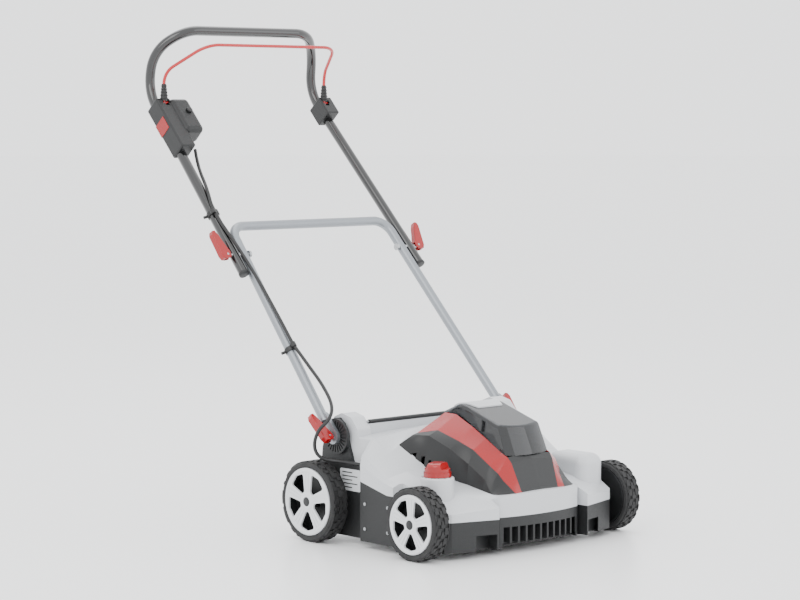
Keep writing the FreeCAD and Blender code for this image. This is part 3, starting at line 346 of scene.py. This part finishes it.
def finish_piece(piece, name, body, slot, smooth_deg=35.0, replaced=()):
    """Close off a modelled piece: outward normals, smooth shading, finish, and the body that it rides on."""
    if piece.mode != "EDIT":
        bpy.ops.object.mode_set(mode="EDIT")
    bpy.ops.mesh.select_all(action="SELECT")
    bpy.ops.mesh.remove_doubles(threshold=0.00001)
    bpy.ops.mesh.normals_make_consistent(inside=False)
    bpy.ops.object.mode_set(mode="OBJECT")
    bpy.ops.object.shade_smooth_by_angle(angle=math.radians(smooth_deg))
    piece.name = name
    piece.data.name = name
    piece.data.materials.clear()
    piece.data.materials.append(MATERIALS[slot])
    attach(piece, body)
    if replaced:
        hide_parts(*replaced)
    return piece


def dress(slot, *names):
    """Give CAD nodes the finish of a slot."""
    for name in names:
        for place in NODES[name].material_slots:
            place.material = MATERIALS[slot]


# ------------------------------------------------------------------ cords

# from the gland of the switch box, along the right leg, to the lower clip
CABLE_UPPER_ROUTE = [
    (-0.2014, 0.6309, 0.7875), (-0.212, 0.609, 0.752), (-0.240, 0.540, 0.706), (-0.2564, 0.500, 0.6585),
    (-0.243, 0.420, 0.575), (-0.238, 0.334, 0.479), (-0.240, 0.258, 0.3926)]
# from the lower clip, past the lever in a loose loop, into the cover above the rear wheel
CABLE_LOWER_ROUTE = [
    (-0.2399, 0.2566, 0.3912), (-0.235, 0.210, 0.347), (-0.238, 0.169, 0.317), (-0.252, 0.119, 0.279),
    (-0.274, 0.103, 0.253), (-0.293, 0.118, 0.232), (-0.297, 0.127, 0.201), (-0.288, 0.1254, 0.178),
    (-0.268, 0.116, 0.1685), (-0.250, 0.092, 0.167), (-0.241, 0.0315, 0.164)]


def lay_cord(name, route, diameter, node):
    """A round cord along a smooth spline whose control points are the route, and the points that it follows."""
    line = bpy.data.curves.new(name, "CURVE")
    line.dimensions = "3D"
    line.resolution_u = 16
    spline = line.splines.new("NURBS")
    spline.points.add(len(route) - 1)
    for point, place in zip(spline.points, route):
        point.co = (*place, 1.0)
    spline.order_u = 3
    spline.use_endpoint_u = True
    piece = bpy.data.objects.new(name, line)
    bpy.context.collection.objects.link(piece)
    middle = bpy.data.meshes.new_from_object(piece)
    followed = [tuple(corner.co) for corner in middle.vertices]
    bpy.data.meshes.remove(middle)
    line.bevel_depth = diameter / 2
    line.bevel_resolution = 5
    line.use_fill_caps = True
    clear_selection()
    piece.select_set(True)
    bpy.context.view_layer.objects.active = piece
    bpy.ops.object.convert(target="MESH")
    piece = bpy.context.object
    piece.data.materials.clear()
    piece.data.materials.append(MATERIALS["rubber_black"])
    bpy.ops.object.shade_smooth_by_angle(angle=math.radians(50.0))
    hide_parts(node)
    return piece, followed


class SCARIFIER_OT_cords(bpy.types.Operator):
    """Lay the switch cable from the switch box down the right leg and into the cover"""
    bl_idname = "scarifier.cords"
    bl_label = "Switch cable"

    def execute(self, context):
        diameter = context.scene.scarifier_sizes.cord_diameter
        upper, path = lay_cord("switch_cable_upper", CABLE_UPPER_ROUTE, diameter, "cable_upper")
        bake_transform(upper)
        lower, path = lay_cord("switch_cable_lower", CABLE_LOWER_ROUTE, diameter, "cable_lower")
        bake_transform(lower)
        return {"FINISHED"}


# ------------------------------------------------------------------ wheels

WHEELS = ("front_wheel_left", "front_wheel_right", "rear_wheel_left", "rear_wheel_right")
TREAD_DEPTH = 0.0137           # from the tread to the edge of the rim cap
SHOULDER_INSET = 0.003         # how far the tread stops short of the tyre's side
LARGE_WHEEL = 0.08             # wheels with a greater radius take more lugs
LUG_COLUMNS = {True: 75, False: 66}
RIB_EDGES_MM = (-15.0, -13.5, -5.0, -3.0, 3.0, 5.0, 13.5, 15.0)


def wheel_place(wheel):
    """Centre, radius and half width of a wheel, from its tyre's box."""
    low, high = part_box(wheel + "_tyre")
    centre = (Vector(low) + Vector(high)) / 2
    return centre, (high[2] - low[2]) / 2, (high[0] - low[0]) / 2


def tyre(wheel, lug):
    """A moulded tyre: a ribbed tread of staggered lugs between two rounded side walls."""
    centre, radius, half = wheel_place(wheel)
    columns = LUG_COLUMNS[radius > LARGE_WHEEL]
    piece = new_drum(radius - lug, 2 * (half - SHOULDER_INSET), centre, SIDE_TURN, columns, "NOTHING")
    bpy.ops.object.mode_set(mode="EDIT")
    for x in RIB_EDGES_MM:
        bpy.ops.mesh.select_all(action="SELECT")
        bpy.ops.mesh.bisect(plane_co=(centre.x + x * MM, 0, 0), plane_no=(1, 0, 0))
    middle_edge, inner_edge, outer_edge, side_edge = RIB_EDGES_MM[4:]

    def is_lug(place, normal):
        """Two columns in three stand proud in each rib, and the bars that join the ribs fill some gaps."""
        across = abs(place.x - centre.x) / MM
        column = round((math.atan2(place.z - centre.z, place.y - centre.y) / math.tau + 0.5) * columns - 0.5)
        if across < middle_edge:
            return column % 3 != 0
        if inner_edge < across < outer_edge:
            return (column + 1) % 3 != 0
        if across > side_edge:
            return (column + 2) % 3 != 0
        return (column + (1 if across < inner_edge else 2)) % 3 == 0

    pick_faces(piece, is_lug)
    bpy.ops.mesh.extrude_region_shrink_fatten(TRANSFORM_OT_shrink_fatten={"value": lug * 0.98})
    rim = radius - TREAD_DEPTH
    floor = radius - lug
    open_x = half - SHOULDER_INSET

    def on_open_end(a, b):
        """Whether an edge runs round an open end of the drum, below the lugs."""
        beside = all(abs(abs(p.x - centre.x) - open_x) < 1e-6 for p in (a, b)) and abs(a.x - b.x) < 1e-6
        return beside and max(math.hypot(p.y - centre.y, p.z - centre.z) for p in (a, b)) < floor + 1e-5

    pick_edges(piece, on_open_end)
    # half width and reach of the side wall, from the tread in to under the rim cap
    steps = [(open_x, floor), (half - 0.0008, floor - 0.0022), (half - 0.0002, radius - 0.0075),
             (half - 0.0008, rim + 0.0016), (half - 0.0040, rim + 0.0003), (half - 0.0060, rim - 0.0030)]
    for (last_x, last_reach), (half_x, reach) in zip(steps, steps[1:]):
        grow = reach / last_reach
        bpy.ops.mesh.extrude_edges_move()
        bpy.ops.transform.resize(value=(half_x / last_x, grow, grow), center_override=centre)
    bpy.ops.mesh.bridge_edge_loops()
    return finish_piece(piece, wheel + "_tread_tyre", wheel, "tyre_black", 30.0, [wheel + "_tyre"])


class SCARIFIER_OT_wheels(bpy.types.Operator):
    """Mould the four tyres and finish the wheel cores and rim caps"""
    bl_idname = "scarifier.wheels"
    bl_label = "Wheels"

    def execute(self, context):
        for wheel in WHEELS:
            tyre(wheel, context.scene.scarifier_sizes.lug_depth)
            dress("core_black", wheel + "_core")
            dress("cap_grey", wheel + "_cap")
        return {"FINISHED"}


# ------------------------------------------------------------------ fittings

SIDES = (("right", -1), ("left", 1))
LEG_LEAN = -math.atan2(0.679, 0.734)
FOOT_CAP_PLACE = Vector((0.2515, 0.4025, 0.5315))    # under the left leg of the top handle
BOOT_PLACE = (0.230, 0.703)
BOOT_BASE, BOOT_HEIGHT = 0.894, 0.036
BOOT_RINGS, FIRST_RING, RING_PITCH = 5, 0.8985, 0.0068
RING_BASE_RADIUS, RING_TAPER, RING_THICKNESS = 0.0088, 0.0033, 0.0022
HUBS = (("front", -0.1535, 0.0725), ("rear", 0.1535, 0.0825))
HUB_DISC_X = 0.2936
DIAL_CENTRE, DIAL_RADIUS, DIAL_TOP = (-0.202, -0.135), 0.0306, 0.1562
DIAL_TICKS, DIAL_START, DIAL_STEP = 9, 80.0, 25.0
LABEL_PLACE, LABEL_SIZE = (-0.2363, 0.084, 0.129), (0.0008, 0.062, 0.044)
RULE_X, RULE_START, RULE_TOP, RULE_PITCH = -0.23678, 0.108, 0.144, 0.0075
SKIRT_SIDE_X = 0.2580
SKIRT_SCREWS = ((-0.052, 0.090), (0.016, 0.090), (-0.052, 0.040), (0.016, 0.040))


def round_edges(piece, test, width, segments):
    """Bevel the edges that pass the test."""
    bpy.ops.object.mode_set(mode="EDIT")
    pick_edges(piece, test)
    bevel(width, segments)


def along_x(a, b):
    """Whether an edge runs through the thickness of a plate that faces X."""
    return abs(a.x - b.x) > 0.0001


def screw(name, place, turn, body, radius):
    """A screw head with a sunk round drive."""
    head = new_drum(radius, radius * 0.8, place, turn, vertices=28)
    middle = Vector(place)
    pick_edges(head, lambda a, b: (a - b).length < radius * 0.5 and (a - middle).length < radius * 1.3)
    bevel(radius * 0.12)
    bpy.ops.object.mode_set(mode="OBJECT")
    pick_faces(head, lambda centre, normal: (centre - middle).length < radius * 0.5)
    bpy.ops.mesh.inset(thickness=radius * 0.45)
    bpy.ops.mesh.extrude_region_shrink_fatten(TRANSFORM_OT_shrink_fatten={"value": -radius * 0.3})
    return finish_piece(head, name, body, "steel")


def rating_label():
    """A pale label on the recessed wall, with dark rules in place of its words."""
    label = new_block(LABEL_SIZE, LABEL_PLACE)
    round_edges(label, along_x, 0.004, 4)
    finish_piece(label, "rating_label", "body", "cap_grey")
    for row in range(5):
        length = 0.046 if row % 2 else 0.030
        place = (RULE_X, RULE_START - length / 2, RULE_TOP - RULE_PITCH * row)
        line = new_block((0.0003, length, 0.0022), place)
        round_edges(line, along_x, 0.0006, 2)
        finish_piece(line, "label_rule_%d" % row, "body", "core_black")


def tube_cap(name, sign):
    """The plug in the foot of a leg of the top handle."""
    place = (sign * FOOT_CAP_PLACE.x, FOOT_CAP_PLACE.y, FOOT_CAP_PLACE.z)
    cap = new_drum(0.0116, 0.007, place, (LEG_LEAN, 0.0, 0.0), vertices=40)
    round_edges(cap, lambda a, b: (a - b).length < 0.003, 0.0014, 3)
    finish_piece(cap, "tube_cap_" + name, "top_handle", "core_black")


def boot_rings(name, sign):
    """The ribs round a boot of the bail, each smaller than the one below."""
    for row in range(BOOT_RINGS):
        height = FIRST_RING + RING_PITCH * row
        reach = RING_BASE_RADIUS - (height - BOOT_BASE) / BOOT_HEIGHT * RING_TAPER
        clear_selection()
        bpy.ops.mesh.primitive_torus_add(location=(sign * BOOT_PLACE[0], BOOT_PLACE[1], height), major_radius=reach,
                                         minor_radius=RING_THICKNESS / 2, major_segments=40, minor_segments=10)
        finish_piece(bake_place(), "boot_ring_%s_%d" % (name, row), "bail_body", "rubber_black")


def hub_discs(name, sign):
    """The dark disc in the middle of each rim cap on one side."""
    for corner, y, z in HUBS:
        disc = new_drum(0.0095, 0.0016, (sign * HUB_DISC_X, y, z), SIDE_TURN, vertices=36)
        round_edges(disc, lambda a, b: (a - b).length < 0.0022, 0.0004, 2)
        finish_piece(disc, "hub_disc_%s_%s" % (corner, name), "%s_wheel_%s" % (corner, name), "core_black")


def dial_ticks():
    """The marks on the boss round the depth knob."""
    for step in range(DIAL_TICKS):
        turn = math.radians(DIAL_START + DIAL_STEP * step)
        place = (DIAL_CENTRE[0] + DIAL_RADIUS * math.cos(turn), DIAL_CENTRE[1] + DIAL_RADIUS * math.sin(turn),
                 DIAL_TOP)
        tick = new_block((0.0034, 0.0008, 0.0005), place, (0.0, 0.0, turn))
        round_edges(tick, lambda a, b: True, 0.0001, 1)
        finish_piece(tick, "dial_tick_%d" % step, "body", "core_black")


class SCARIFIER_OT_fittings(bpy.types.Operator):
    """Add the rating label, tube caps, dial ticks, ribbed boots, hub discs and screws"""
    bl_idname = "scarifier.fittings"
    bl_label = "Fittings"

    def execute(self, context):
        radius = context.scene.scarifier_sizes.screw_radius
        rating_label()
        for name, sign in SIDES:
            tube_cap(name, sign)
            boot_rings(name, sign)
            hub_discs(name, sign)
        dial_ticks()
        for number, (y, z) in enumerate(SKIRT_SCREWS):
            for name, sign in SIDES:
                place = (sign * SKIRT_SIDE_X, y, z)
                screw("skirt_screw_%s_%d" % (name, number), place, SIDE_TURN, "body", radius)
        return {"FINISHED"}


# ------------------------------------------------------------------ stage

FLOOR_RADIUS = 45.0
FLOOR_COLOUR = "#FBFBFB"
SKY_COLOUR, SKY_STRENGTH = (0.93, 0.94, 0.95, 1.0), 2.3
# name, place, size, power and colour of each soft light
SOFTBOXES = (
    ("key_softbox", (-3.2, -1.2, 3.4), 2.6, 60.0, (1.0, 0.99, 0.97)),
    ("fill_softbox", (2.6, -3.4, 2.2), 2.4, 20.0, (0.97, 0.98, 1.0)),
    ("top_softbox", (0.6, 1.6, 3.6), 2.8, 40.0, (1.0, 1.0, 1.0)))
LIGHTS_AIM = Vector((0, 0.1, 0.35))
CAMERA_PLACE = (-3.512, -3.630, 0.8683)
CAMERA_LENS, SENSOR_WIDTH = 111.375, 36.0
CAMERA_DIP, CAMERA_HEADING = 4.336, -42.57          # degrees below level, and about Z


class SCARIFIER_OT_stage(bpy.types.Operator):
    """Lay the pale studio floor, place the soft lights and aim the camera"""
    bl_idname = "scarifier.stage"
    bl_label = "Stage"

    def execute(self, context):
        clear_selection()
        bpy.ops.mesh.primitive_circle_add(vertices=96, radius=FLOOR_RADIUS, fill_type="NGON", location=(0, 0, 0))
        floor = bake_place()
        floor.name = "studio_floor"
        made, tree, shader, place = new_material("lacquered_floor_white", 0.32, IOR=1.45)
        mottled(tree, shader, place, linear(FLOOR_COLOUR), 900.0, 0.01)
        floor.data.materials.append(made)
        world = context.scene.world or bpy.data.worlds.new("studio")
        context.scene.world = world
        world.use_nodes = True
        sky = world.node_tree.nodes["Background"]
        sky.inputs["Color"].default_value = SKY_COLOUR
        sky.inputs["Strength"].default_value = SKY_STRENGTH
        for name, place, size, power, colour in SOFTBOXES:
            lamp = bpy.data.lights.new(name, "AREA")
            lamp.size = size
            lamp.energy = power
            lamp.color = colour
            holder = bpy.data.objects.new(name, lamp)
            context.collection.objects.link(holder)
            holder.location = place
            holder.rotation_euler = (LIGHTS_AIM - Vector(place)).to_track_quat("-Z", "Y").to_euler()
        camera_data = bpy.data.cameras.new("camera")
        camera_data.sensor_width = SENSOR_WIDTH
        camera_data.lens = CAMERA_LENS
        camera_data.clip_end = 200.0
        camera = bpy.data.objects.new("camera", camera_data)
        context.collection.objects.link(camera)
        camera.location = CAMERA_PLACE
        camera.rotation_euler = (math.radians(90.0 - CAMERA_DIP), 0.0, math.radians(CAMERA_HEADING))
        context.scene.camera = camera
        return {"FINISHED"}


class SCARIFIER_OT_finishes(bpy.types.Operator):
    """Make every material and dress the machine's own parts with them"""
    bl_idname = "scarifier.finishes"
    bl_label = "Finishes"

    def execute(self, context):
        MATERIALS.update(build_materials(context.scene.scarifier_colours))
        for part in frame["record"]["subparts"]:
            if part["node"] in NODES:
                dress(part["material_slot"], part["node"])
        return {"FINISHED"}


class SCARIFIER_PT_pieces(bpy.types.Panel):
    """Lists the pieces of the machine"""
    bl_idname = "SCARIFIER_PT_pieces"
    bl_label = "Scarifier"
    bl_space_type = "VIEW_3D"
    bl_region_type = "UI"
    bl_category = "Scarifier"

    def draw(self, context):
        for group in (context.scene.scarifier_sizes, context.scene.scarifier_colours):
            for name in group.__annotations__:
                self.layout.prop(group, name)
        for operator in OPERATORS:
            self.layout.operator(operator.bl_idname)


OPERATORS = (SCARIFIER_OT_finishes, SCARIFIER_OT_cords, SCARIFIER_OT_wheels, SCARIFIER_OT_fittings,
             SCARIFIER_OT_stage)
CLASSES = (ScarifierSizes, ScarifierColours) + OPERATORS + (SCARIFIER_PT_pieces,)


def register():
    for item in CLASSES:
        bpy.utils.register_class(item)
    bpy.types.Scene.scarifier_sizes = bpy.props.PointerProperty(type=ScarifierSizes)
    bpy.types.Scene.scarifier_colours = bpy.props.PointerProperty(type=ScarifierColours)


def unregister():
    del bpy.types.Scene.scarifier_sizes
    del bpy.types.Scene.scarifier_colours
    for item in reversed(CLASSES):
        bpy.utils.unregister_class(item)


def main():
    """Build every piece in order."""
    register()
    for operator in OPERATORS:
        group, name = operator.bl_idname.split(".")
        getattr(getattr(bpy.ops, group), name)()
    clear_selection()


if __name__ == "__main__":
    main()
